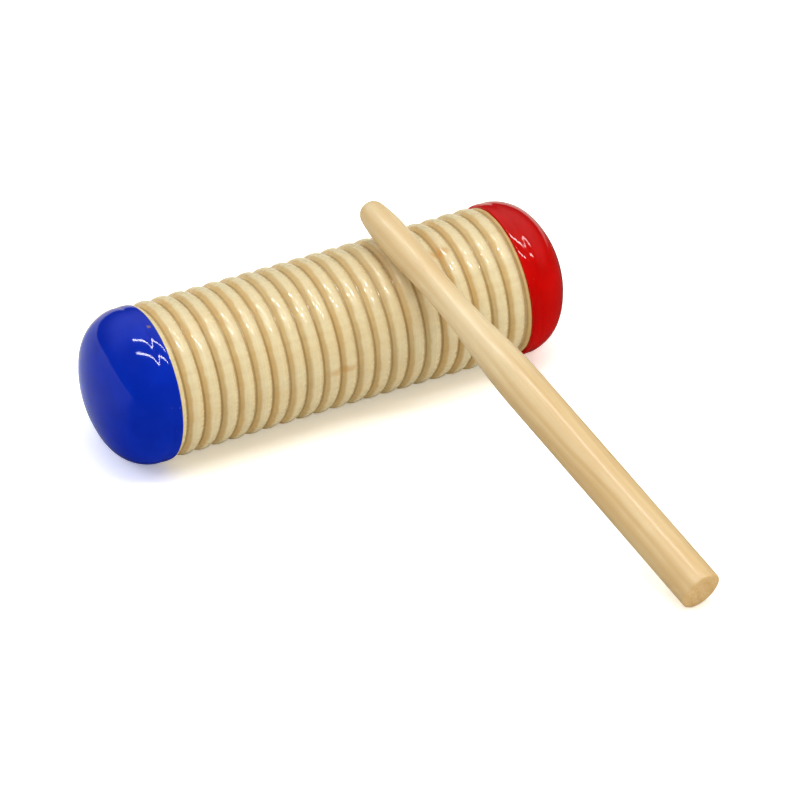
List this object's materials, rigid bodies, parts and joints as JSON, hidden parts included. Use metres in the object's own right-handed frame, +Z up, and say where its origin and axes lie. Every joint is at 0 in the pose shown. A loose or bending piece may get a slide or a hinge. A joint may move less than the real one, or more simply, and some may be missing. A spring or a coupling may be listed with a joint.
{
  "type": "guiro shaker",
  "caption": "Wooden guiro shaker: a hollow ribbed tube with glossy painted domed ends, loose beads inside, and a turned stick that leans on the ribs and scrapes along them.",
  "frame": {"origin": "on the table, straight below the middle of the tube", "axes": "+X along the tube from the blue end to the red end, +Y away from the stick's handle, +Z up"},
  "size_m": [0.1631, 0.1816, 0.0634],
  "materials": {
    "tube_wood": "clear lacquer",
    "blue_paint": "gloss enamel paint",
    "red_paint": "gloss enamel paint",
    "bead_wood": "bare",
    "stick_wood": "satin lacquer"
  },
  "bodies": {
    "guiro_body": {"ribbed_tube": "tube_wood", "blue_end_cap": "blue_paint", "red_end_cap": "red_paint"},
    "beads": {"rattle_beads": "bead_wood"},
    "stick": {"scraper_stick": "stick_wood"}
  },
  "joints": [
    {"name": "stick_scrape", "type": "slide", "parent": "guiro_body", "child": "stick", "axis": [1, 0, 0], "range_m": [-0.077, 0.029]},
    {"name": "bead_shift", "type": "slide", "parent": "guiro_body", "child": "beads", "axis": [1, 0, 0], "range_m": [-0.0345, 0.0345]}
  ]
}
